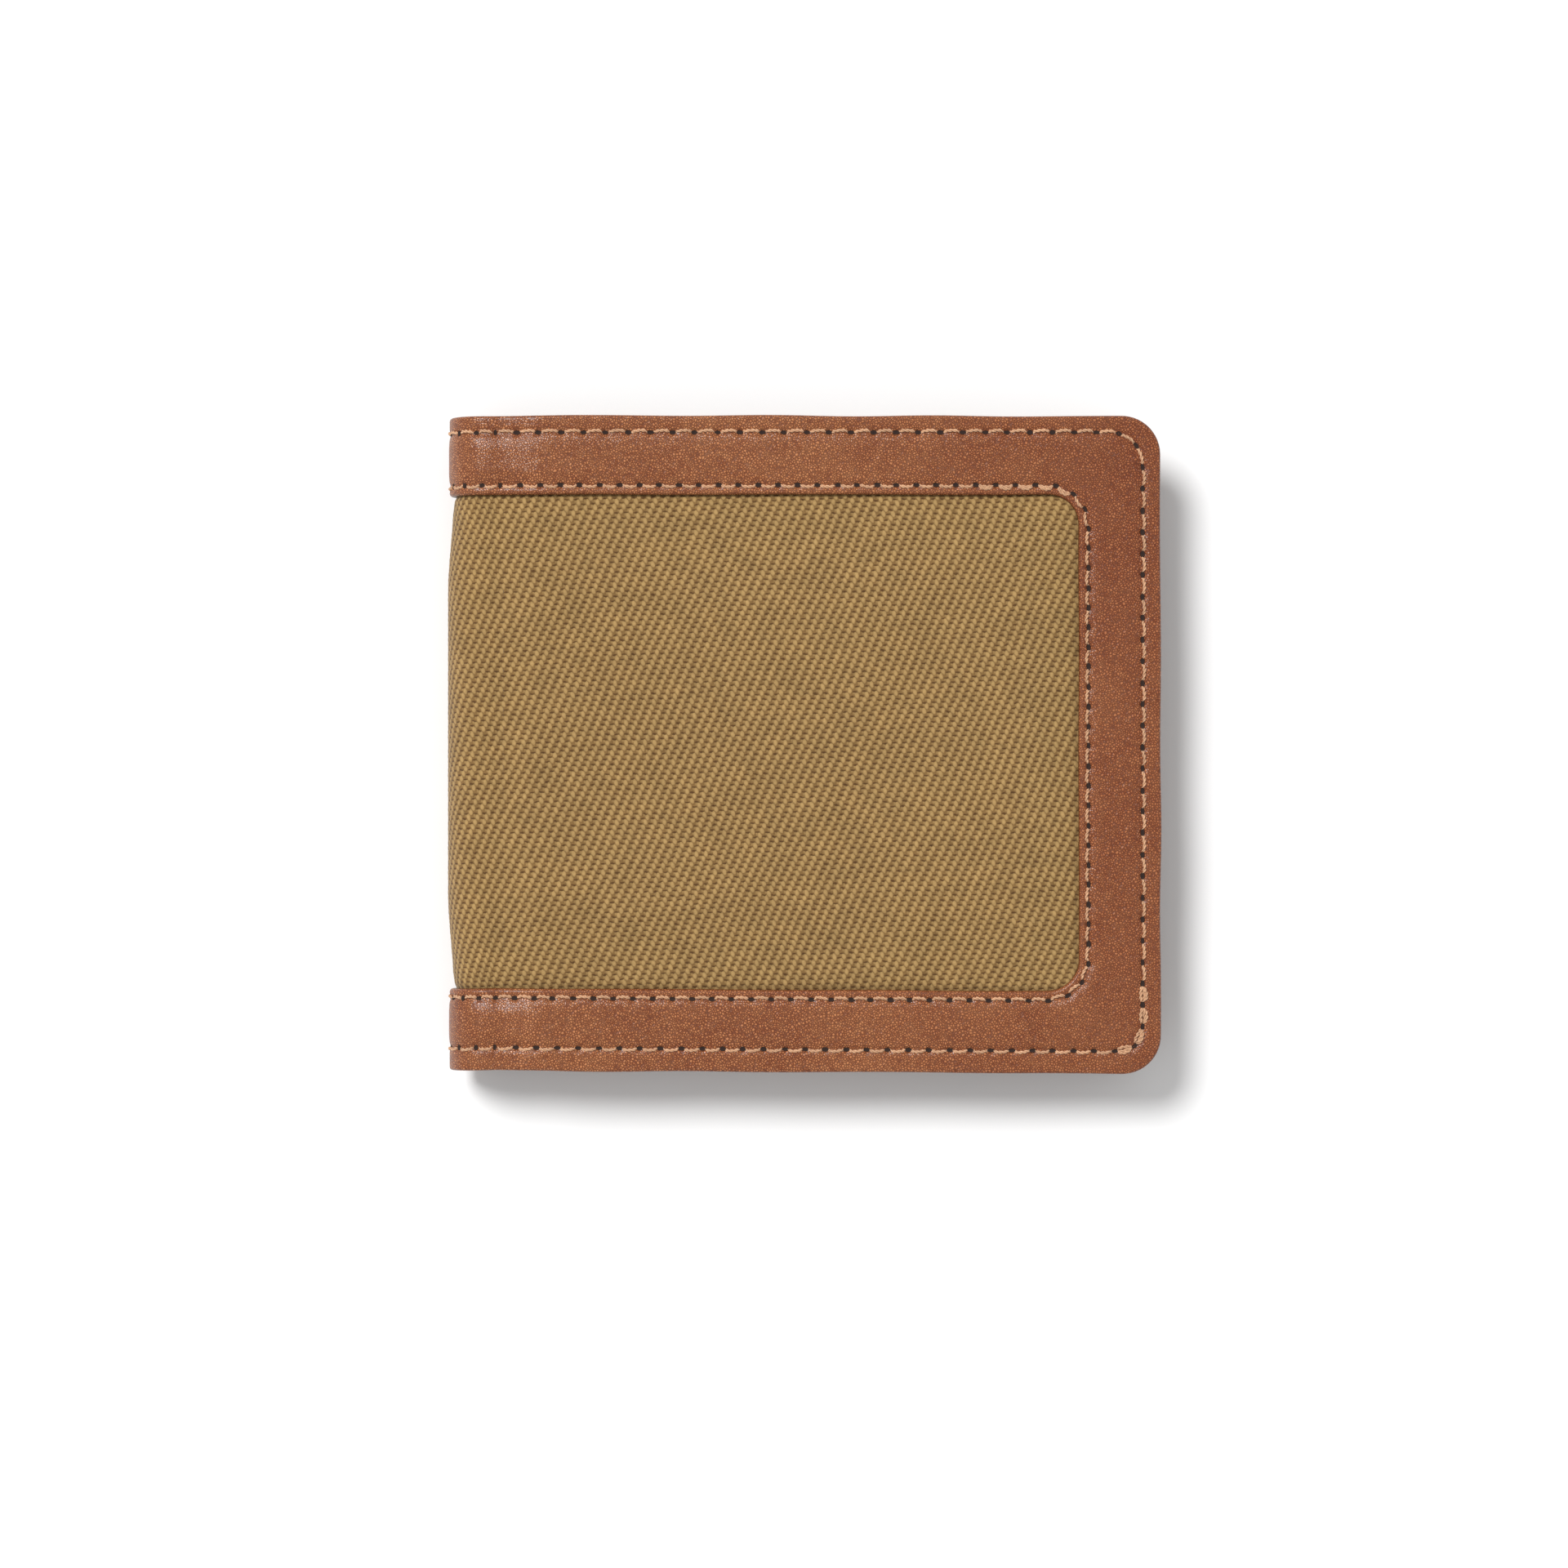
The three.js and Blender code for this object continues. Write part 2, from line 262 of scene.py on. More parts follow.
def c_curves(start):
    """Matched points along the window edge and the outer edge of the C-shaped frame, from the
    fold round by the bottom, fore edge and top back to the fold."""
    straight = int((S_IN - start) / FRAME_STEP)
    upright = int((WINDOW_TOP - WINDOW_BOTTOM - 2 * WINDOW_R) / FRAME_STEP)
    quarter = math.pi / 2
    s = np.linspace(start, S_IN, straight)
    low_y, high_y = WINDOW_BOTTOM + WINDOW_R, WINDOW_TOP - WINDOW_R
    y = np.linspace(low_y, high_y, upright)
    line = lambda a, b: np.stack(np.broadcast_arrays(a, b), -1).astype(float)
    low_corner = np.concatenate(
        [
            [[S_IN, -TOP_Y]],
            arc_points(
                LENGTH - CORNER_R, -TOP_Y + CORNER_R, CORNER_R, -quarter, 0, OUTER_ARC_POINTS
            ),
            [[LENGTH, low_y]],
        ]
    )
    high_corner = (low_corner * [1, -1])[::-1].copy()
    high_corner[0, 1] = high_y
    pieces = [
        (line(s, WINDOW_BOTTOM), line(s, -TOP_Y)),
        (
            arc_points(S_IN, low_y, WINDOW_R, -quarter, 0, CORNER_POINTS),
            resample(low_corner, CORNER_POINTS),
        ),
        (line(WINDOW_S, y), line(LENGTH, y)),
        (
            arc_points(S_IN, high_y, WINDOW_R, 0, quarter, CORNER_POINTS),
            resample(high_corner, CORNER_POINTS),
        ),
        (line(s[::-1], WINDOW_TOP), line(s[::-1], TOP_Y)),
    ]
    last = pieces.pop()
    inner, outer = (
        np.concatenate([piece[which][:-1] for piece in pieces] + [last[which]]) for which in (0, 1)
    )
    return inner, outer


EDGE_IN = np.array([0, 0.04, 0.12, 0.24, 0.4, 0.62])
EDGE_OUT = np.array([0.5, 0.33, 0.2, 0.1, 0.03, 0])
MIDDLE_ROWS = 36


def section_rows(width):
    """Distances from the window edge of the rows across a band of this width."""
    middle = np.linspace(EDGE_IN[-1], width - EDGE_OUT[0], MIDDLE_ROWS)[1:-1]
    return np.concatenate([EDGE_IN, middle, width - EDGE_OUT])


def beyond_row(which, s, y):
    """Signed distance from a seam row, positive on the side of the cover's outer edge."""
    fore, low, high, low_r, high_r = ROWS[which]
    r = np.where(y > 0, high_r, low_r)
    from_s = s - (fore - r)
    from_y = np.where(y > 0, y - (high - r), low + r - y)
    inner = np.minimum(np.maximum(from_s, from_y), 0)
    return inner + np.hypot(np.maximum(from_s, 0), np.maximum(from_y, 0)) - r


def fold_fullness(u):
    """How much fuller the leather stands between its seams where it is folded."""
    from_spine = np.minimum(np.abs(u), np.abs(u - ARC))
    return 0.1 + 0.26 * (1 - smooth(from_spine / 8))


def band_depth(from_in, from_out, past_window, past_outer, fullness):
    """Depth of a band's upper face: rounded lips, sewn valleys and a fullness between."""
    d = rounded_off(from_in, LIP_R) + rounded_off(from_out, RIM_R)
    for away in (past_window, past_outer):
        d = d + VALLEY * np.exp(-((away / VALLEY_W) ** 2))
    full = np.clip(past_window / 2.5, 0, 1) * np.clip(-past_outer / 2.5, 0, 1)
    return d - fullness * smooth(full) + 0.02


UNDER = [(0.0, LEATHER_T - 0.25), (0.3, LEATHER_T)]
OUTLINE_WOBBLE = 0.07
WINDOW_WOBBLE = 0.06
FACE_WOBBLE = 0.035
WOBBLE_FADE = 12


def leather_frame(half):
    inner, outer = c_curves(SPLIT_S)
    n = len(inner)
    width = np.linalg.norm(outer - inner, axis=1)
    steps_along = np.linalg.norm(np.diff((inner + outer) / 2, axis=0), axis=1)
    along = np.concatenate([[0], np.cumsum(steps_along)])
    seed = 3 if half.turn else 4
    outward = (outer - inner) / width[:, None]
    fade = smooth(along / WOBBLE_FADE) * smooth((along[-1] - along) / WOBBLE_FADE)
    outer = outer + outward * (ripple(along, seed, OUTLINE_WOBBLE) * fade)[:, None]
    inner = inner + outward * (ripple(along, seed + 9, WINDOW_WOBBLE) * fade)[:, None]
    rows = np.stack([section_rows(w) for w in width])
    frac = rows / width[:, None]
    flat = inner[:, None] + (outer - inner)[:, None] * frac[..., None]
    away = [beyond_row(which, flat[..., 0], flat[..., 1]) for which in ("window", "outer")]
    depth = band_depth(rows, width[:, None] - rows, *away, fold_fullness(half.u(flat[..., 0])))
    depth = depth + ripple(along, seed + 20, FACE_WOBBLE)[:, None] * fade[:, None]
    depth = depth + pits(flat)
    under_out = [(width - a, d) for a, d in UNDER]
    under_in = [(np.full(n, a), d) for a, d in UNDER][::-1]
    under = under_out + under_in
    under_flat = np.stack(
        [inner + (outer - inner) * (a / width)[:, None] for a, _ in under], axis=1
    )
    under_depth = np.stack([np.full(n, d) for _, d in under], axis=1)
    flat = np.concatenate([flat, under_flat], axis=1)
    depth = np.concatenate([depth, under_depth], axis=1)
    points = half.place(flat[..., 0], flat[..., 1], depth).reshape(-1, 3)
    columns = flat.shape[1]
    quads = grid_quads(n, columns, flip=half.turn, wrap=True)
    edge = np.zeros((n, columns))
    edge[:, : rows.shape[1]] = np.exp(-rows / 0.55) + 0.7 * np.exp(-(width[:, None] - rows) / 0.4)
    edge[:, rows.shape[1] :] = 0.8
    obj = make_mesh(
        f"{half.side}_leather", points, quads, LEATHER, {"edge": edge.ravel()}
    )
    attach(obj, half.body)
    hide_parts(f"{half.side}_leather_frame")
    return obj


# ---------------------------------------------------------------- seams
ROW_POINTS = 200


def row_line(which):
    """A seam row in (s, y) from the fold along the bottom, fore edge and top, with its pitch."""
    fore, low, high, low_r, high_r = ROWS[which]
    quarter = math.pi / 2
    run = lambda a, b: np.linspace(a, b, ROW_POINTS)[:-1]
    parts = [
        (np.stack([run(0, fore - low_r), np.full(ROW_POINTS - 1, low)], -1), "bottom"),
        (arc_points(fore - low_r, low + low_r, low_r, -quarter, 0, ROW_POINTS)[:-1], "fore"),
        (np.stack([np.full(ROW_POINTS - 1, fore), run(low + low_r, high - high_r)], -1), "fore"),
        (arc_points(fore - high_r, high - high_r, high_r, 0, quarter, ROW_POINTS)[:-1], "top"),
        (np.stack([run(fore - high_r, 0), np.full(ROW_POINTS - 1, high)], -1), "top"),
    ]
    line = np.concatenate([points for points, _ in parts])
    pitches = OUTER_PITCHES if which == "outer" else dict.fromkeys(OUTER_PITCHES, WINDOW_PITCH)
    return line, np.repeat([pitches[side] for _, side in parts], ROW_POINTS - 1)


# a needle hole of each seam that lies on the fore edge's top corner, in (x, y)
ANCHORS = {"outer": (51.2, 45.9), "window": (42.9, 36.1)}
END_CLEAR = 0.25
HOLE_SCATTER = 0.02


def holes_on(which):
    line, pitch = row_line(which)
    step = np.linalg.norm(np.diff(line, axis=0), axis=1)
    count = np.concatenate([[0], np.cumsum(step / ((pitch[1:] + pitch[:-1]) / 2))])
    anchor = np.array(ANCHORS[which]) - [SPINE_X, 0]
    at = count[np.argmin(np.linalg.norm(line - anchor, axis=1))]
    first = at - math.floor(at)
    marks = np.arange(first, count[-1], 1.0)
    marks = marks[(marks > END_CLEAR) & (marks < count[-1] - END_CLEAR)]
    local = np.random.default_rng(5 if which == "outer" else 6)
    marks = marks + local.normal(0, HOLE_SCATTER, len(marks))
    return np.stack([np.interp(marks, count, line[:, k]) for k in (0, 1)], -1)


HOLES = {which: holes_on(which) for which in ("outer", "window")}


def spine_holes(which, end):
    """Needle holes in (u, y) across the spine, from the back cover's last to the front's."""
    s, y = HOLES[which][end]
    u0, u1 = -s, ARC + s
    n = max(round((u1 - u0) / SPINE_PITCHES[which]), 1)
    u = np.linspace(u0, u1, n + 1)
    return np.stack([u, np.full_like(u, y)], -1)


def pits(flat):
    """Extra depth of the leather at each needle hole."""
    out = np.zeros(flat.shape[:-1])
    for which in ("outer", "window"):
        for hole in HOLES[which]:
            near = np.abs(flat[..., 0] - hole[0]) + np.abs(flat[..., 1] - hole[1]) < 2
            d2 = ((flat[near] - hole) ** 2).sum(-1)
            out[near] += PIT * np.exp(-d2 / PIT_R**2)
    return out


TUBE_SIDES = 7
STITCH_RINGS = 22


def stitch_parts(a, b, base, toward, slant, turns, phase):
    """Two twisted strands from hole a to hole b, in (u, y, depth). toward is the side of the
    line the thread lies on; base is the depth of the leather's valley."""
    a, b = np.asarray(a, float), np.asarray(b, float)
    along = b - a
    length = np.linalg.norm(along)
    t = along / length
    side = np.array([-t[1], t[0]])
    q = np.linspace(0, 1, STITCH_RINGS)
    bow = 1 - np.abs(2 * q - 1) ** 2.6
    offset = (0.03 + 0.26 * bow) * toward + slant * (1 - 2 * q) * bow
    centre = a + along * (0.11 + 0.78 * q)[:, None] + side * offset[:, None]
    depth = base - 0.16 * bow + 0.42 * np.abs(2 * q - 1) ** 9
    strands = []
    for strand in (0, 1):
        twist = phase + strand * math.pi + turns * 2 * math.pi * q
        cu = centre + side * (THREAD_TWIST_R * np.cos(twist))[:, None]
        cd = depth - THREAD_TWIST_R * np.sin(twist)
        around = np.linspace(0, 2 * math.pi, TUBE_SIDES, endpoint=False)
        ring = np.zeros((STITCH_RINGS, TUBE_SIDES, 3))
        ring[..., :2] = cu[:, None] + side * (THREAD_R * np.cos(around))[None, :, None]
        ring[..., 2] = cd[:, None] - THREAD_R * np.sin(around)[None]
        strands.append(ring)
    return strands


def build_stitches(name, pairs, place, flip=False):
    """One mesh of many stitches. pairs: (hole a, hole b, base depth, side the thread lies on)."""
    points, quads, tone = [], [], []
    base_index = 0
    local = np.random.default_rng(len(pairs))
    for a, b, base, toward in pairs:
        turns = np.linalg.norm(np.subtract(b, a)) / 1.9
        slant = local.normal(0.1, 0.05) * (1 if toward > 0 else -1)
        shade = local.uniform(0, 1)
        for ring in stitch_parts(a, b, base, toward, slant, turns, local.uniform(0, 6.28)):
            points.append(place(ring[..., 0], ring[..., 1], ring[..., 2]).reshape(-1, 3))
            quads.append(
                grid_quads(STITCH_RINGS, TUBE_SIDES, base_index, flip=not flip, wrap=True)
            )
            base_index += STITCH_RINGS * TUBE_SIDES
            tone.append(np.full(STITCH_RINGS * TUBE_SIDES, shade))
    return make_mesh(
        name,
        np.concatenate(points),
        np.concatenate(quads),
        THREAD,
        {"tone": np.concatenate(tone)},
    )


HOLE_SIDES = 12
HOLE_DEPTH = VALLEY - 0.04


def build_hole_shades(name, holes, place, base, flip=False):
    """Painted shade inside the needle holes: small dark dished discs lying in the leather's pits."""
    points, tris = [], []
    local = np.random.default_rng(len(holes) + 1)
    around = np.linspace(0, 2 * math.pi, HOLE_SIDES, endpoint=False)
    index = 0
    for n, (u, y) in enumerate(holes):
        ahead = np.array(holes[min(n + 1, len(holes) - 1)]) - np.array(holes[max(n - 1, 0)])
        t = ahead / max(np.linalg.norm(ahead), 1e-6)
        side = np.array([-t[1], t[0]])
        long, wide = local.uniform(0.46, 0.6), local.uniform(0.27, 0.36)
        rim = np.stack([np.cos(around) * long, np.sin(around) * wide], -1)
        uv = np.array([u, y]) + rim[:, :1] * t + rim[:, 1:] * side
        uv = np.concatenate([uv, [[u, y]]])
        depth = np.full(len(uv), base)
        depth[-1] = base + 0.16
        points.append(place(uv[:, 0], uv[:, 1], depth))
        for k in range(HOLE_SIDES):
            tri = [index + k, index + (k + 1) % HOLE_SIDES, index + HOLE_SIDES]
            tris.append(tri if flip else tri[::-1])
        index += HOLE_SIDES + 1
    return make_mesh(name, np.concatenate(points), [], HOLE_SHADE, tris=tris)


# where each seam is sewn twice, from where it was started to where it was finished: (x, y) ranges
DOUBLED = {
    "window": ((27.5, 40.5), (0.0, math.inf)),
    "outer": ((49.0, math.inf), (-48.5, -35.5)),
}


def doubled(which, a, b):
    """Whether the stitch between two needle holes is sewn twice."""
    x = (a[0] + b[0]) / 2 + SPINE_X
    y = (a[1] + b[1]) / 2
    (x0, x1), (y0, y1) = DOUBLED[which]
    return x0 < x < x1 and y0 < y < y1


def cover_seam(half, which):
    holes = HOLES[which]
    toward = -1 if which == "outer" else 1
    pairs = []
    for a, b in zip(holes[:-1], holes[1:]):
        pairs.append((a, b, VALLEY + 0.02, toward))
        if doubled(which, a, b):
            pairs.append((a, b, VALLEY - 0.02, toward * 2.1))
            if which == "outer":
                pairs.append((a, b, VALLEY, -toward * 0.9))
    place = half.place
    thread = build_stitches(f"{half.side}_{which}_stitches", pairs, place, flip=half.turn)
    dark = build_hole_shades(f"{half.side}_{which}_holes", holes, place, HOLE_DEPTH, half.turn)
    for obj in (thread, dark):
        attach(obj, half.body)
    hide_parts(f"{half.side}_{which}_seam")


# ---------------------------------------------------------------- twill
A1 = np.array([1.110, -0.717])
A2 = np.array([-0.3675, -0.778])
G1 = np.array([0.690, -0.326])
G2 = np.array([-0.636, -0.985])
BEAD_LONG = np.array([-0.24, 0.97]) / 0.52
BEAD_WIDE = np.array([0.97, 0.24]) / 0.35
GAP_LONG = np.array([1.0, 0.0]) / 0.41
GAP_WIDE = np.array([0.0, 1.0]) / 0.14
GAP_CENTRE = (0.74, -0.17)
WEFT_LONG = np.array([0.0, 1.0]) / 0.24
WEFT_WIDE = np.array([1.0, 0.0]) / 0.2
WEFT_CENTRE = (-0.46, 0.22)
CORNERS = ((0, 0), (1, 0), (0, 1), (1, 1))
WEAVE_HEIGHT = 0.07


def cloth_coords(u, y):
    """Where a point falls in the weave, with the slow drift of real cloth."""
    du = 0.16 * np.sin(0.11 * u + 0.07 * y + 1.0) + 0.1 * np.sin(0.31 * y - 0.05 * u)
    dy = 0.14 * np.sin(0.09 * u - 0.12 * y + 2.0) + 0.08 * np.sin(0.27 * u + 0.4)
    return np.stack([u + du, y + dy, np.zeros_like(u)], -1)


def weave(cloth):
    """Height from 0 to 1 of the steep twill's floats at cloth coordinates in mm."""
    r = cloth[..., :2]
    p1, p2 = r @ G1, r @ G2
    f1, f2 = p1 - np.floor(p1), p2 - np.floor(p2)
    best = np.zeros(f1.shape)
    for i, j in CORNERS:
        d = (f1 - i)[..., None] * A1 + (f2 - j)[..., None] * A2
        best = np.maximum(best, 1 - (d @ BEAD_LONG) ** 2 - (d @ BEAD_WIDE) ** 2)
    return best


def recess(y, s=None):
    """Depth of the cloth in the window: tight beside the bands, full in the middle."""
    e = np.minimum(WINDOW_TOP - y, y - WINDOW_BOTTOM)
    full = smooth(e / 15)
    if s is not None:
        full = full * smooth((WINDOW_S - s) / 13)
        e = np.minimum(e, WINDOW_S - s)
    inside = 0.88 - 0.86 * full - 0.2 * smooth(e / 3) + 0.3 * np.exp(-((e / 0.45) ** 2))
    under = np.clip(-e / 0.7, 0, 1)
    return inside * (1 - under) + (LEATHER_T + 0.08) * under


TWILL_FINE = 0.26
TWILL_COARSE = 0.42
TWILL_UNDER = 1.6
TWILL_BACK = 2.2
TWILL_INSET = 1.0
HIDDEN_STEP = 1.6


def steps(parts):
    out = [np.linspace(a, b, max(int(round((b - a) / h)), 1), endpoint=False) for a, b, h in parts]
    return np.concatenate(out + [[parts[-1][1]]])


def plate(name, half, grid_s, grid_y, outline, top, bottom, edge_r, material, closed=True):
    """A flat piece with a rounded outline: outline is (s0, s1, y0, y1, corner radius)."""
    s0, s1, y0, y1, r = outline
    split = grid_s[grid_s <= s1 - r - 0.5][-1]
    out_of_corner = np.clip(r - np.minimum(y1 - grid_y, grid_y - y0), 0, r)
    end = s1 - r + np.sqrt(np.clip(r * r - out_of_corner**2, 0, None))
    k = np.clip((grid_s - split) / (s1 - split), 0, 1)
    s = np.where(grid_s[:, None] > split, split + k[:, None] * (end[None] - split), grid_s[:, None])
    y = np.broadcast_to(grid_y[None], s.shape)
    cx = np.clip(s - (s1 - r), 0, None)
    cy = out_of_corner[None]
    from_corner = r - np.hypot(cx, cy)
    e = np.where((cx > 0) & (cy > 0), from_corner, np.minimum(s1 - s, np.minimum(y1 - y, y - y0)))
    if s0 > 0:
        e = np.minimum(e, s - s0)
    e = np.clip(e, 0, None)
    round_off = rounded_off(e, edge_r)
    upper = top(s, y) + round_off
    rows, columns = s.shape
    cloth = cloth_coords(half.u(s), y)
    points = [half.place(s, y, upper).reshape(-1, 3)]
    coords = [cloth.reshape(-1, 3)]
    edge = [np.exp(-e / 0.5).ravel()]
    quads = [grid_quads(rows, columns, flip=not half.turn)]
    ring = grid_rim(rows, columns)
    total = rows * columns
    if closed:
        lower = bottom - round_off
        points.append(half.place(s, y, lower).reshape(-1, 3))
        coords.append(cloth.reshape(-1, 3))
        edge.append(edge[0])
        quads.append(grid_quads(rows, columns, total, flip=half.turn))
        other = ring + total
    else:
        points.append(half.place(s.ravel()[ring], y.ravel()[ring], bottom))
        coords.append(cloth.reshape(-1, 3)[ring])
        edge.append(np.ones(len(ring)))
        other = total + np.arange(len(ring))
    band = np.stack([ring, np.roll(ring, -1), np.roll(other, -1), other], -1)
    quads.append(band if not half.turn else band[:, ::-1])
    obj = make_mesh(
        name,
        np.concatenate(points),
        np.concatenate(quads),
        material,
        {"cloth": np.concatenate(coords), "edge": np.concatenate(edge)},
    )
    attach(obj, half.body)
    return obj


def twill_panel(half):
    fine = TWILL_FINE if half.turn else TWILL_COARSE
    inset = TWILL_INSET
    grid_s = steps(
        [
            (SPLIT_S, WINDOW_S + TWILL_UNDER, fine),
            (WINDOW_S + TWILL_UNDER, LENGTH - inset, HIDDEN_STEP),
        ]
    )
    grid_y = steps(
        [
            (-TOP_Y + inset, WINDOW_BOTTOM - TWILL_UNDER, HIDDEN_STEP),
            (WINDOW_BOTTOM - TWILL_UNDER, WINDOW_TOP + TWILL_UNDER, fine),
            (WINDOW_TOP + TWILL_UNDER, TOP_Y - inset, HIDDEN_STEP),
        ]
    )

    def top(s, y):
        d = recess(y, s)
        inside = d < LEATHER_T
        return d - np.where(inside, WEAVE_HEIGHT * weave(cloth_coords(half.u(s), y)), 0)

    obj = plate(
        f"{half.side}_twill",
        half,
        grid_s,
        grid_y,
        (0, LENGTH - inset, -TOP_Y + inset, TOP_Y - inset, 5),
        top,
        TWILL_BACK,
        0.2,
        TWILL,
        closed=False,
    )
    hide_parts(f"{half.side}_twill_panel")
    return obj


# ---------------------------------------------------------------- inner layers
def plain_grid(s0, s1, y0, y1, step=1.2):
    edge = [0, 0.06, 0.16, 0.3, 0.5]
    near = lambda a, b: steps([(a, b, step)])
    s = np.concatenate([near(s0 + 0.8, s1 - 0.8), s1 - np.array(edge)[::-1]])
    if s0 > SPLIT_S:
        s = np.concatenate([s0 + np.array(edge), s])
    else:
        s = np.concatenate([[s0], s])
    y = np.concatenate([y0 + np.array(edge), near(y0 + 0.8, y1 - 0.8), y1 - np.array(edge)[::-1]])
    return s, y


PANEL_S = -44.0 - SPINE_X
PANEL_INSET = 0.7
PANELS = (
    ("bill_divider", 46.5, 3.18, 4.55),
    ("card_pocket_1", 34.0, 4.6, 5.3),
    ("card_pocket_2", 22.0, 5.36, 6.05),
    ("card_pocket_3", 10.0, 6.1, 6.8),
)
INNER_ROW = 3.1
INNER_ROW_R = 4.0
INNER_PITCH = 3.3
CREASE = 2.0
LINING_FACES = (2.28, 3.12)
FOAM_FACES = (1.5, 2.1)
FOAM_INSET = 4.5
FOAM_START = SPLIT_S + 1.5


def inner_layers(half):
    low, high = -TOP_Y + PANEL_INSET, TOP_Y - PANEL_INSET
    fore = LENGTH - PANEL_INSET
    s, y = plain_grid(SPLIT_S, fore, low, high)
    lining = plate(
        f"{half.side}_lining_cloth",
        half,
        s,
        y,
        (0, fore, low, high, 5.2),
        lambda s, y: np.full(s.shape, LINING_FACES[0]),
        LINING_FACES[1],
        0.35,
        LINING,
    )
    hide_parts(f"{half.side}_lining")
    foam_box = (FOAM_START, LENGTH - FOAM_INSET, -TOP_Y + FOAM_INSET, TOP_Y - FOAM_INSET)
    s, y = plain_grid(*foam_box, 4)
    core = plate(
        f"{half.side}_foam",
        half,
        s,
        y,
        (*foam_box, 2),
        lambda s, y: np.full(s.shape, FOAM_FACES[0]),
        FOAM_FACES[1],
        0.2,
        FOAM,
    )
    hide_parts(f"{half.side}_interlining")
    for name, top_y, outer_face, inner_face in PANELS:
        s, y = plain_grid(PANEL_S, fore, low, top_y, 0.9)

        def under(s, y, top_y=top_y, inner_face=inner_face):
            crease = 0.16 * np.exp(-(((top_y - y - CREASE) / 0.28) ** 2))
            sewn = 0.18 * np.exp(-(((LENGTH - s - INNER_ROW) / 0.5) ** 2))
            sewn = sewn + 0.18 * np.exp(-(((y + TOP_Y - INNER_ROW) / 0.5) ** 2))
            return inner_face - crease - sewn + 0.05 * np.sin(s * 0.11) * np.sin(y * 0.13)

        obj = plate_inside(
            f"{half.side}_{name}_leather",
            half,
            s,
            y,
            (PANEL_S, fore, low, top_y, 5.2 if top_y > 40 else 1.2),
            outer_face,
            under,
            0.3,
        )
        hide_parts(f"{half.side}_{name}")
    inner_seam(half)


def plate_inside(name, half, grid_s, grid_y, outline, outer_face, inner, edge_r):
    """A panel of the inside: its detailed face is the deeper one."""
    s0, s1, y0, y1, r = outline
    bottom_r = 5.2
    up = np.clip(r - (y1 - grid_y), 0, r)
    down = np.clip(bottom_r - (grid_y - y0), 0, bottom_r)
    end = s1 - np.where(down > 0, bottom_r - np.sqrt(bottom_r**2 - down**2), 0)
    end = end - np.where(up > 0, r - np.sqrt(np.clip(r * r - up**2, 0, None)), 0)
    k = (grid_s - s0) / (s1 - s0)
    tail = np.clip((k - 0.8) / 0.2, 0, 1)
    s = grid_s[:, None] - tail[:, None] * (s1 - end)[None]
    y = np.broadcast_to(grid_y[None], s.shape)
    e = np.minimum(np.minimum(end[None] - s, s - s0), np.minimum(y1 - y, y - y0))
    e = np.clip(e, 0, None)
    round_off = rounded_off(e, edge_r)
    rows, columns = s.shape
    total = rows * columns
    outer_points = half.place(s, y, outer_face + round_off).reshape(-1, 3)
    inner_points = half.place(s, y, inner(s, y) - round_off).reshape(-1, 3)
    ring = grid_rim(rows, columns)
    band = np.stack([ring, np.roll(ring, -1), np.roll(ring, -1) + total, ring + total], -1)
    quads = [
        grid_quads(rows, columns, flip=not half.turn),
        grid_quads(rows, columns, total, flip=half.turn),
        band if not half.turn else band[:, ::-1],
    ]
    edge = np.tile(np.exp(-e / 0.5).ravel(), 2)
    obj = make_mesh(
        name,
        np.concatenate([outer_points, inner_points]),
        np.concatenate(quads),
        PANEL,
        {"edge": edge},
    )
    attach(obj, half.body)
    return obj


def inner_seam(half):
    """The stitches that show inside, along the fore edge and the bottom of the card panel."""
    fore, low = LENGTH - INNER_ROW, -TOP_Y + INNER_ROW
    r = INNER_ROW_R
    line = np.concatenate(
        [
            np.stack([np.linspace(PANEL_S + 1.5, fore - r, 60), np.full(60, low)], -1),
            arc_points(fore - r, low + r, r, -math.pi / 2, 0, 12)[1:],
            np.stack([np.full(60, fore), np.linspace(low + r, 45.5, 60)], -1)[1:],
        ]
    )
    length = np.linalg.norm(np.diff(line, axis=0), axis=1).sum()
    holes = resample(line, round(length / INNER_PITCH) + 1)
    faces = [(top_y, inner_face) for _, top_y, _, inner_face in PANELS]
    depth_at = lambda y: max(face for top_y, face in faces if y < top_y + 0.1)
    pairs = [
        (a, b, -(depth_at(max(a[1], b[1])) - 0.16), 0.5) for a, b in zip(holes[:-1], holes[1:])
    ]
    inward = lambda s, y, d: half.place(s, y, -d)
    obj = build_stitches(f"{half.side}_inner_stitches", pairs, inward, flip=not half.turn)
    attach(obj, half.body)


# ---------------------------------------------------------------- the spine
SPINE_ROWS = 40
SPINE_LINING_FACES = (1.62, 2.55)


def bodies_at(k):
    return JOINTS[k]["parent"], JOINTS[k]["child"]


def spine_span(k):
    """The part of the skin that bends about hinge k, from mid-quarter to mid-quarter."""
    u0 = -SPLIT_S if k == 0 else (k - 0.5) * QUARTER_ARC
    u1 = ARC + SPLIT_S if k == QUARTERS else (k + 0.5) * QUARTER_ARC
    return u0, u1


def bend(obj, k):
    u0, u1 = spine_span(k)
    start, end = skin(u0, 0, 0) * MM, skin(u1, 0, 0) * MM
    tuple(start)
    tuple(end)
    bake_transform(obj)


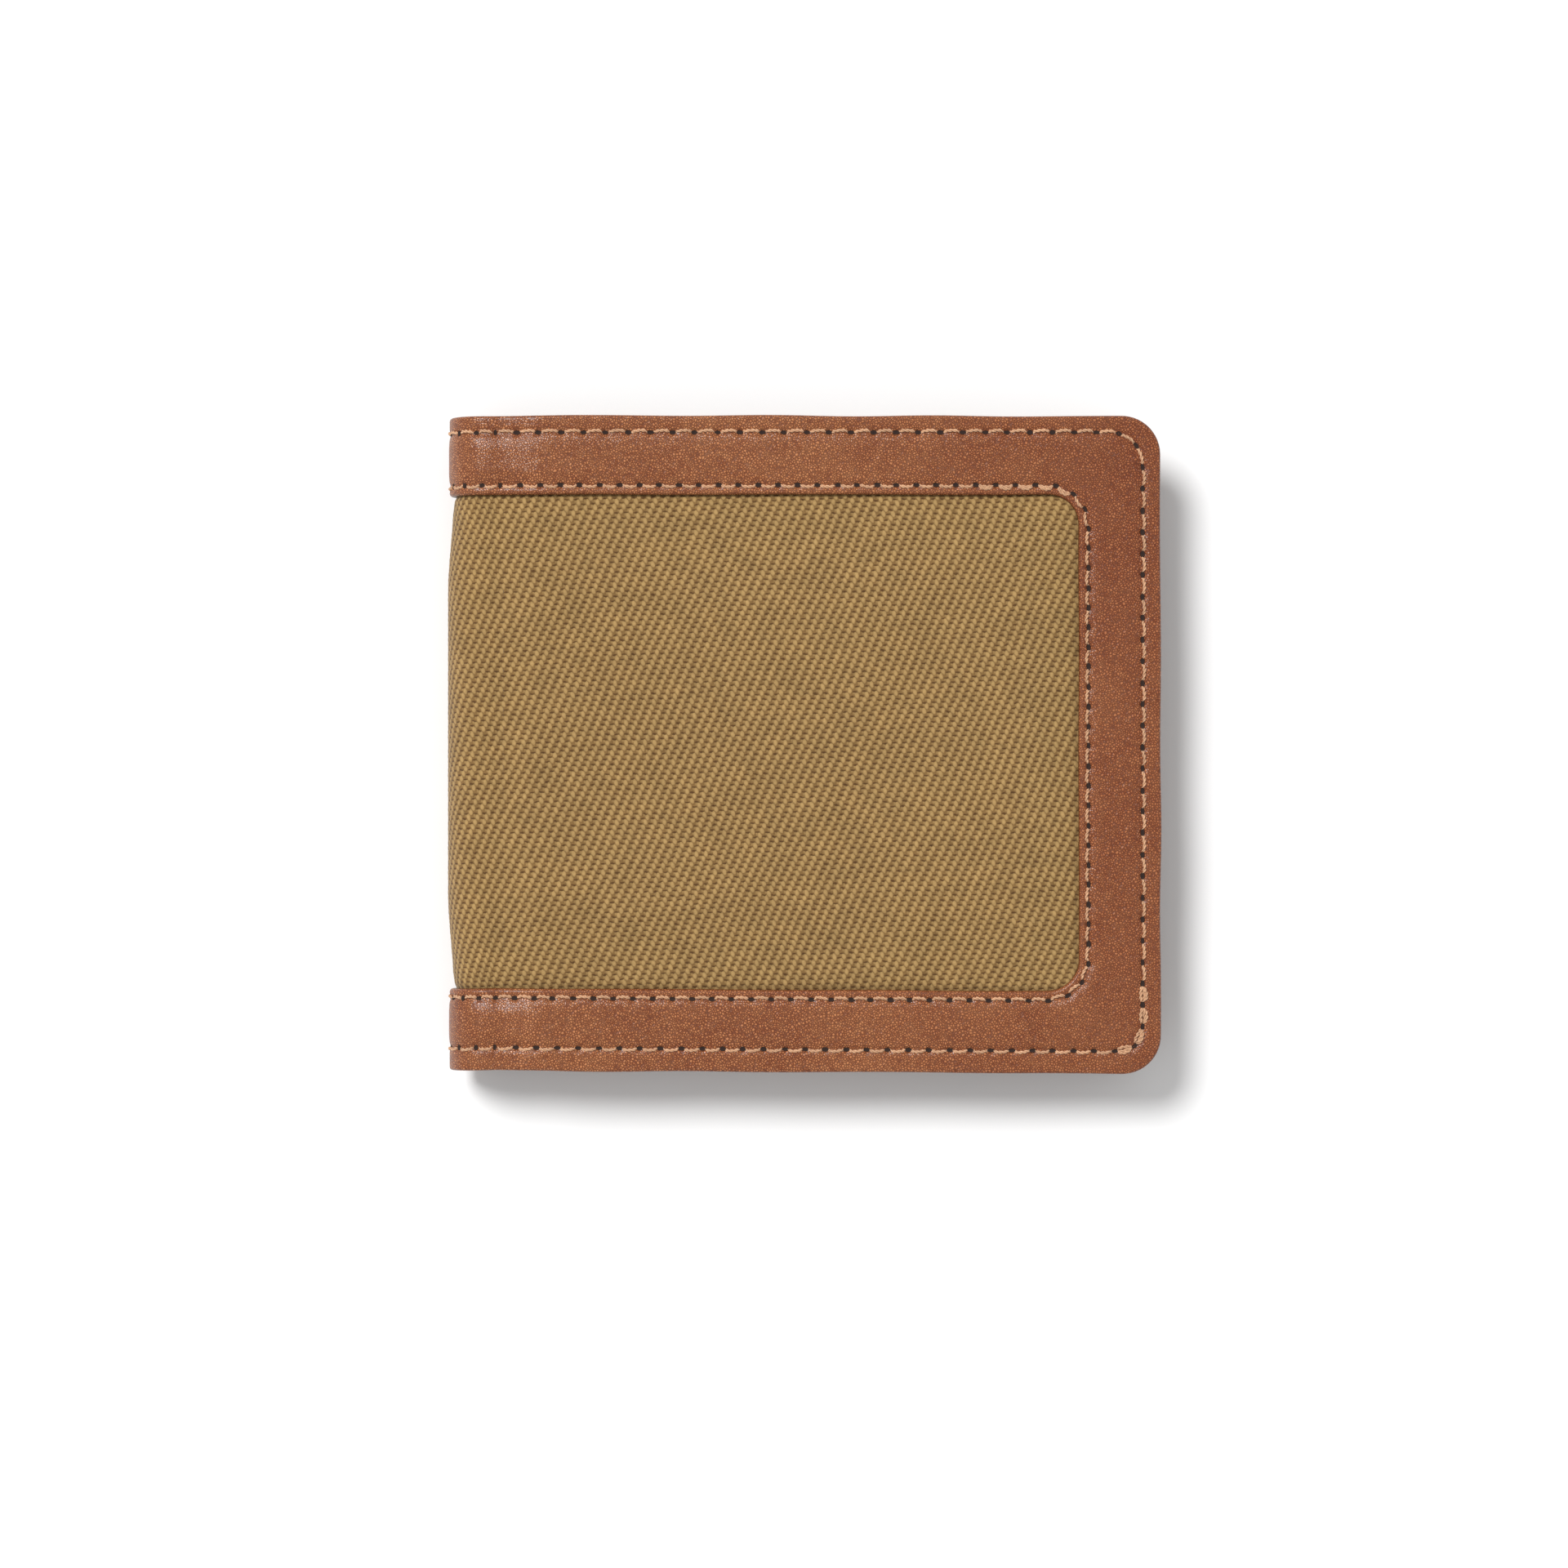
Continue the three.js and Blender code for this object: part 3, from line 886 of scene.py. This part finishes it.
def spine_band(k, where):
    u = np.linspace(*spine_span(k), SPINE_ROWS)
    width = TOP_BAND if where == "top" else BOTTOM_BAND
    sign = 1 if where == "top" else -1
    origin = WINDOW_TOP if where == "top" else WINDOW_BOTTOM
    rows = section_rows(width)
    away = (rows - WINDOW_INSET, rows + OUTER_INSETS[where] - width)
    depth = band_depth(rows, width - rows, *away, fold_fullness(u)[:, None])
    under = [(width - a, d) for a, d in UNDER] + [(a, d) for a, d in UNDER][::-1]
    across = np.concatenate([rows, [a for a, _ in under]])
    under_depth = np.broadcast_to([d for _, d in under], (len(u), len(under)))
    depth = np.concatenate([depth, under_depth], axis=1)
    y = origin + sign * across
    uu, yy = np.meshgrid(u, y, indexing="ij")
    dd = depth.copy()
    for which in ("outer", "window"):
        end = -1 if where == "top" else 0
        for hole in spine_holes(which, end):
            d2 = (uu - hole[0]) ** 2 + (yy - hole[1]) ** 2
            dd += SPINE_PIT * np.exp(-d2 / PIT_R**2)
    points = skin(uu, yy, dd).reshape(-1, 3)
    edge = np.exp(-across / 0.55) + 0.7 * np.exp(-np.abs(width - across) / 0.4)
    edge = np.broadcast_to(edge, uu.shape)
    quads = grid_quads(len(u), len(y), flip=where != "top", wrap=True)
    obj = make_mesh(
        f"spine_{where}_band_{k}", points, quads, LEATHER, {"edge": edge.ravel()}
    )
    bend(obj, k)
    if k:
        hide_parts(f"{bodies_at(k)[0]}_leather_{where}")


def spine_twill(k):
    u0, u1 = spine_span(k)
    u = np.linspace(u0, u1, max(int((u1 - u0) / TWILL_FINE), 2) + 1)
    y = steps([(WINDOW_BOTTOM - TWILL_UNDER, WINDOW_TOP + TWILL_UNDER, TWILL_FINE)])
    uu, yy = np.meshgrid(u, y, indexing="ij")
    cloth = cloth_coords(uu, yy)
    base = recess(yy)
    depth = base - np.where(base < LEATHER_T, WEAVE_HEIGHT * weave(cloth), 0)
    obj = make_mesh(
        f"spine_twill_skin_{k}",
        skin(uu, yy, depth).reshape(-1, 3),
        grid_quads(len(u), len(y)),
        TWILL,
        {"cloth": cloth.reshape(-1, 3), "edge": np.zeros(uu.size)},
    )
    bend(obj, k)
    if k:
        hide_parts(f"{bodies_at(k)[0]}_twill")


def spine_lining(k):
    u = np.linspace(*spine_span(k), SPINE_ROWS)
    inset, r = PANEL_INSET, 0.35
    outer_face, inner_face = SPINE_LINING_FACES
    ends = np.array([0, 0.06, 0.16, 0.3, 0.5])
    y = np.concatenate(
        [
            -TOP_Y + inset + ends,
            np.linspace(-TOP_Y + 2, TOP_Y - 2, 60),
            TOP_Y - inset - ends[::-1],
        ]
    )
    e = np.minimum(TOP_Y - inset - y, y + TOP_Y - inset)
    off = rounded_off(e, r)
    loop_y = np.concatenate([y, y[::-1]])
    loop_d = np.concatenate([outer_face + off, (inner_face - off)[::-1]])
    uu, yy = np.meshgrid(u, loop_y, indexing="ij")
    near_cover = 1 - smooth(np.minimum(np.abs(uu + SPLIT_S), np.abs(uu - ARC - SPLIT_S)) / 2.5)
    dd = np.broadcast_to(loop_d, uu.shape) + 0.6 * near_cover
    obj = make_mesh(
        f"spine_lining_skin_{k}",
        skin(uu, yy, dd).reshape(-1, 3),
        grid_quads(len(u), len(loop_y), wrap=True),
        LINING,
        {"cloth": cloth_coords(uu, yy).reshape(-1, 3), "edge": np.zeros(uu.size)},
    )
    bend(obj, k)
    if k:
        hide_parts(f"{bodies_at(k)[0]}_lining")


def spine_stitches():
    """Stitches and needle holes over the spine, each on the piece of skin that it is sewn to."""
    for k in range(QUARTERS + 1):
        u0, u1 = spine_span(k)
        low = -math.inf if k == 0 else u0
        high = math.inf if k == QUARTERS else u1
        pairs, holes = [], []
        for which in ("outer", "window"):
            for end, sign in ((-1, 1), (0, -1)):
                run = spine_holes(which, end)
                toward = (1 if which == "outer" else -1) * sign
                for a, b in zip(run[:-1], run[1:]):
                    if low <= (a[0] + b[0]) / 2 < high:
                        pairs.append((a, b, VALLEY + 0.02, toward))
                holes += [tuple(h) for h in run[1:-1] if low <= h[0] < high]
        thread = build_stitches(f"spine_stitches_{k}", pairs, skin)
        bend(thread, k)
        if holes:
            dark = build_hole_shades(f"spine_holes_{k}", holes, skin, HOLE_DEPTH, True)
            bend(dark, k)


# ---------------------------------------------------------------- materials
class Shader:
    def __init__(self, name):
        self.material = bpy.data.materials.new(name)
        self.material.use_nodes = True
        self.tree = self.material.node_tree
        self.tree.nodes.clear()
        self.bsdf = self.tree.nodes.new("ShaderNodeBsdfPrincipled")
        out = self.tree.nodes.new("ShaderNodeOutputMaterial")
        self.tree.links.new(self.bsdf.outputs[0], out.inputs[0])

    def put(self, socket, value):
        if isinstance(value, bpy.types.NodeSocket):
            self.tree.links.new(value, socket)
        else:
            socket.default_value = value

    def node(self, kind, inputs=(), **settings):
        node = self.tree.nodes.new(kind)
        for key, value in settings.items():
            setattr(node, key, value)
        for key, value in dict(inputs).items():
            self.put(node.inputs[key], value)
        return node

    def math(self, operation, a, b=0.0, clamp=False):
        node = self.node("ShaderNodeMath", {0: a, 1: b}, operation=operation, use_clamp=clamp)
        return node.outputs[0]

    def span(self, value, low, high, to_low=0.0, to_high=1.0):
        values = {"Value": value, "From Min": low, "From Max": high, "To Min": to_low, "To Max": to_high}
        return self.node("ShaderNodeMapRange", values, clamp=True).outputs[0]

    def mix(self, factor, a, b):
        node = self.node("ShaderNodeMix", data_type="RGBA")
        self.put(node.inputs[0], factor)
        self.put(node.inputs[6], a)
        self.put(node.inputs[7], b)
        return node.outputs[2]

    def scaled(self, colour, value):
        node = self.node("ShaderNodeVectorMath", operation="SCALE")
        self.put(node.inputs[0], colour)
        self.put(node.inputs["Scale"], value)
        return node.outputs[0]

    def coords(self):
        return self.node("ShaderNodeTexCoord").outputs["Object"]

    def attribute(self, name, output="Fac"):
        return self.node("ShaderNodeAttribute", attribute_name=name).outputs[output]

    def noise(self, vector, scale, detail=3.0, roughness=0.5):
        values = {"Vector": vector, "Scale": scale, "Detail": detail, "Roughness": roughness}
        return self.node("ShaderNodeTexNoise", values).outputs[0]

    def bump(self, height, distance, strength=1.0, normal=None):
        values = {"Height": height, "Distance": distance, "Strength": strength}
        if normal is not None:
            values["Normal"] = normal
        return self.node("ShaderNodeBump", values).outputs[0]

    def finish(self, **inputs):
        for key, value in inputs.items():
            self.put(self.bsdf.inputs[key.replace("_", " ")], value)
        return self.material


def linear(r, g, b):
    """A display colour from 0 to 255 as a linear one."""
    out = [(c / 255 / 12.92) if c <= 10 else ((c / 255 + 0.055) / 1.055) ** 2.4 for c in (r, g, b)]
    return (*out, 1.0)


GRAIN = 0.00037


def leather_material(name, deep, dark, mid, light, relief=1.0):
    s = Shader(name)
    p = s.coords()
    edge = s.attribute("edge")
    mottle = s.noise(p, 1 / 0.009, 4.0, 0.6)
    patch = s.noise(p, 1 / 0.03, 2.0)
    fine = s.noise(p, 1 / 0.0011, 3.0, 0.6)
    warp = s.node("ShaderNodeVectorMath", {0: p}, operation="ADD")
    drift = s.node(
        "ShaderNodeTexNoise", {"Vector": p, "Scale": 1 / 0.0008, "Detail": 1.0}
    ).outputs["Color"]
    s.put(warp.inputs[1], s.scaled(drift, 0.00012))
    cells = s.node(
        "ShaderNodeTexVoronoi",
        {"Vector": warp.outputs[0], "Scale": 1 / GRAIN, "Randomness": 1.0},
        feature="DISTANCE_TO_EDGE",
    ).outputs["Distance"]
    pebble = s.span(cells, 0.0, 0.34)
    colour = s.mix(s.span(mottle, 0.32, 0.68), dark, mid)
    colour = s.mix(s.span(fine, 0.42, 0.75, 0.0, 0.25), colour, light)
    colour = s.mix(s.span(patch, 0.42, 0.64, 0.32, 0.0), colour, deep)
    # painted highlight and shade of the grain: the pebble tops are mixed lighter and the creases between
    # them made darker
    colour = s.mix(s.span(pebble, 0.35, 0.95, 0.0, 0.42), colour, light)
    crease = s.span(pebble, 0.0, 0.7, 0.42, 1.08)
    # darker towards the cut edges
    edge_darkening = s.span(edge, 0.0, 0.8, 1.0, 0.88)
    # the window lip's wall is made much darker: partly its edge coat, partly painted shade where the
    # leather overhangs the twill
    edge_coat_and_lip_shade = s.span(edge, 0.86, 1.0, 1.0, 0.4)
    # painted shade: the leather is mixed darker towards the fore edge, where the cover slopes away from
    # the light
    across = s.node("ShaderNodeSeparateXYZ", {0: p}).outputs[0]
    colour = s.mix(s.span(across, 0.0, FORE_X * MM, 0.0, 0.38), colour, deep)
    for factor in (crease, edge_darkening, edge_coat_and_lip_shade):
        colour = s.scaled(colour, factor)
    plain = s.math("SUBTRACT", 1.0, s.math("MULTIPLY", s.math("MINIMUM", edge, 1.0), 0.75))
    height = s.math("ADD", s.math("MULTIPLY", pebble, plain), s.math("MULTIPLY", fine, 0.4))
    normal = s.bump(height, 0.0001 * relief)
    rough = s.span(mottle, 0.3, 0.7, 0.4, 0.52)
    return s.finish(
        Base_Color=colour,
        Roughness=rough,
        Specular_IOR_Level=0.2,
        Normal=normal,
        Coat_Weight=0.32,
        Coat_Roughness=0.18,
        Coat_Normal=s.bump(height, 0.00002 * relief),
    )


def twill_material(name):
    s = Shader(name)
    cloth = s.attribute("cloth", "Vector")
    p = s.coords()
    dot = lambda v, w: s.node(
        "ShaderNodeVectorMath", {0: v, 1: (w[0], w[1], 0.0)}, operation="DOT_PRODUCT"
    ).outputs["Value"]
    jitter = s.noise(cloth, 1.3, 2.0)
    shift = s.math("MULTIPLY", s.math("SUBTRACT", jitter, 0.5), 0.35)
    p1 = s.math("ADD", dot(cloth, G1), shift)
    p2 = s.math("ADD", dot(cloth, G2), shift)

    def ovals(long_axis, wide_axis, centre=(0.0, 0.0)):
        """One filled oval per cell of the weave, 1 at its centre and 0 at its rim."""
        f1 = s.math("FRACT", s.math("SUBTRACT", p1, float(np.dot(centre, G1))))
        f2 = s.math("FRACT", s.math("SUBTRACT", p2, float(np.dot(centre, G2))))
        top = 0.0
        for i, j in CORNERS:
            d1, d2 = s.math("SUBTRACT", f1, float(i)), s.math("SUBTRACT", f2, float(j))
            squares = []
            for axis in (long_axis, wide_axis):
                part = s.math("MULTIPLY", d1, float(A1 @ axis))
                part = s.math("ADD", part, s.math("MULTIPLY", d2, float(A2 @ axis)))
                squares.append(s.math("MULTIPLY", part, part))
            oval = s.math("SUBTRACT", 1.0, s.math("ADD", *squares))
            top = s.math("MAXIMUM", top, oval)
        return top

    beads = s.math("SQRT", ovals(BEAD_LONG, BEAD_WIDE))
    wefts = ovals(WEFT_LONG, WEFT_WIDE, WEFT_CENTRE)
    gaps = s.math("SQRT", ovals(GAP_LONG, GAP_WIDE, GAP_CENTRE))
    fibre = s.noise(p, 1 / 0.00028, 3.0, 0.65)
    slub = s.noise(p, 1 / 0.0035, 3.0, 0.6)
    yarn = s.noise(cloth, 0.9, 1.0)
    raised = s.math("ADD", s.math("MULTIPLY", beads, 0.55), s.math("MULTIPLY", wefts, 0.26))
    raised = s.math("SUBTRACT", raised, s.math("MULTIPLY", gaps, 0.38))
    # painted shade and light of the weave: the colour follows its height, dark in the gaps and hollows
    # between the floats and light on their tops, with the fibre's own tone
    tone = s.math("ADD", raised, s.math("MULTIPLY", fibre, 0.4))
    low = s.mix(s.span(tone, -0.25, 0.15), linear(70, 43, 20), linear(116, 87, 49))
    colour = s.mix(s.span(tone, 0.15, 0.8), low, linear(168, 137, 88))
    colour = s.scaled(colour, s.span(slub, 0.3, 0.7, 0.9, 1.08))
    colour = s.scaled(colour, s.span(yarn, 0.3, 0.7, 0.93, 1.07))
    height = s.math("ADD", raised, s.math("MULTIPLY", fibre, 0.4))
    normal = s.bump(height, 0.00014, 0.9)
    return s.finish(
        Base_Color=colour,
        Roughness=0.9,
        Specular_IOR_Level=0.2,
        Sheen_Weight=0.12,
        Normal=normal,
    )


def cloth_material(name, dark, light, pitch=0.45):
    """A plain weave: warp and weft yarns crossing every pitch millimetres."""
    s = Shader(name)
    cloth = s.attribute("cloth", "Vector")
    split = s.node("ShaderNodeSeparateXYZ", {0: cloth})
    turn = math.pi / pitch
    wave = lambda axis: s.math("SINE", s.math("MULTIPLY", split.outputs[axis], turn))
    over = s.math("MULTIPLY", wave(0), wave(1))
    fibre = s.noise(cloth, 9.0, 3.0, 0.6)
    height = s.math("ADD", s.math("ABSOLUTE", over), s.math("MULTIPLY", fibre, 0.5))
    # painted shade of the weave: darker where the yarns dip under each other
    colour = s.mix(s.span(height, 0.1, 1.1), dark, light)
    normal = s.bump(height, 0.00008, 0.8)
    return s.finish(Base_Color=colour, Roughness=0.9, Specular_IOR_Level=0.2, Normal=normal)


def thread_material(name):
    s = Shader(name)
    p = s.coords()
    fibre = s.noise(p, 1 / 0.00016, 3.0, 0.7)
    tone = s.attribute("tone")
    colour = s.mix(s.span(fibre, 0.3, 0.7), linear(158, 104, 70), linear(224, 182, 142))
    colour = s.scaled(colour, s.span(tone, 0.0, 1.0, 0.86, 1.06))
    normal = s.bump(fibre, 0.00004, 0.7)
    return s.finish(
        Base_Color=colour, Roughness=0.6, Specular_IOR_Level=0.4, Sheen_Weight=0.2, Normal=normal
    )


def plain_material(name, dark, light, roughness, grain):
    s = Shader(name)
    n = s.noise(s.coords(), 1 / grain, 3.0, 0.6)
    colour = s.mix(s.span(n, 0.3, 0.7), dark, light)
    return s.finish(Base_Color=colour, Roughness=roughness, Normal=s.bump(n, grain * 0.2, 0.5))


LEATHER = leather_material(
    "tan_leather",
    linear(122, 50, 18),
    linear(142, 74, 36),
    linear(158, 92, 52),
    linear(200, 142, 94),
)
PANEL = leather_material(
    "panel_leather",
    linear(110, 54, 28),
    linear(128, 74, 44),
    linear(146, 90, 58),
    linear(176, 122, 84),
    0.8,
)
TWILL = twill_material("khaki_twill")
LINING = cloth_material("brown_lining", linear(72, 52, 36), linear(118, 92, 66))
FOAM = plain_material("foam", linear(200, 194, 180), linear(226, 221, 208), 0.95, 0.0008)
THREAD = thread_material("sewing_thread")
# near-black discs painted as the shade inside the needle holes
HOLE_SHADE = plain_material("needle_hole_shade", linear(26, 13, 8), linear(46, 25, 15), 0.9, 0.0003)


# ---------------------------------------------------------------- the wallet
for half in HALVES:
    leather_frame(half)
    twill_panel(half)
    inner_layers(half)
    for seam in ("outer", "window"):
        cover_seam(half, seam)
for hinge in range(QUARTERS + 1):
    spine_twill(hinge)
    spine_lining(hinge)
    for band in ("top", "bottom"):
        spine_band(hinge, band)
spine_stitches()


# ---------------------------------------------------------------- floor, light and camera
FLOOR_SIZE = 6
FLOOR_Z = -0.00026
WORLD_STRENGTH = 0.64
SUN_STRENGTH = 2.75
SUN_ANGLE = 0.35
SUN_TILT = math.radians(34)
SUN_COMPASS = math.radians(132)
LENS, SENSOR = 110.0, 36.0
ACROSS = 241.7
AIM_X, AIM_Y = -3.0, -6.0


def stage_and_light():
    bpy.ops.mesh.primitive_plane_add(size=FLOOR_SIZE, location=(0, 0, FLOOR_Z))
    floor = bpy.context.object
    floor.name = "floor"
    s = Shader("floor_white")
    n = s.noise(s.coords(), 3.0)
    white = s.mix(s.span(n, 0.0, 1.0), (0.85, 0.85, 0.85, 1), (0.852, 0.852, 0.852, 1))
    floor.data.materials.append(s.finish(Base_Color=white, Roughness=1.0, Specular_IOR_Level=0.0))
    world = bpy.data.worlds.new("studio")
    bpy.context.scene.world = world
    world.use_nodes = True
    background = world.node_tree.nodes["Background"]
    background.inputs["Color"].default_value = (1.0, 1.0, 1.0, 1)
    background.inputs["Strength"].default_value = WORLD_STRENGTH
    sun = bpy.data.lights.new("key", "SUN")
    sun.energy = SUN_STRENGTH
    sun.angle = SUN_ANGLE
    key = bpy.data.objects.new("key", sun)
    level = math.sin(SUN_TILT)
    source = Vector(
        (level * math.cos(SUN_COMPASS), level * math.sin(SUN_COMPASS), math.cos(SUN_TILT))
    )
    key.rotation_mode = "QUATERNION"
    key.rotation_quaternion = source.to_track_quat("Z", "Y")
    bpy.context.collection.objects.link(key)


def place_camera():
    distance = LENS / SENSOR * ACROSS
    cam = bpy.data.cameras.new("camera")
    cam.lens, cam.sensor_width = LENS, SENSOR
    cam.clip_start, cam.clip_end = 0.01, 20
    obj = bpy.data.objects.new("camera", cam)
    obj.location = (AIM_X * MM, AIM_Y * MM, (distance + THICKNESS - 1) * MM)
    bpy.context.collection.objects.link(obj)
    bpy.context.scene.camera = obj


stage_and_light()
place_camera()
bpy.context.scene.view_settings.view_transform = "Standard"
bpy.context.scene.view_settings.look = "None"
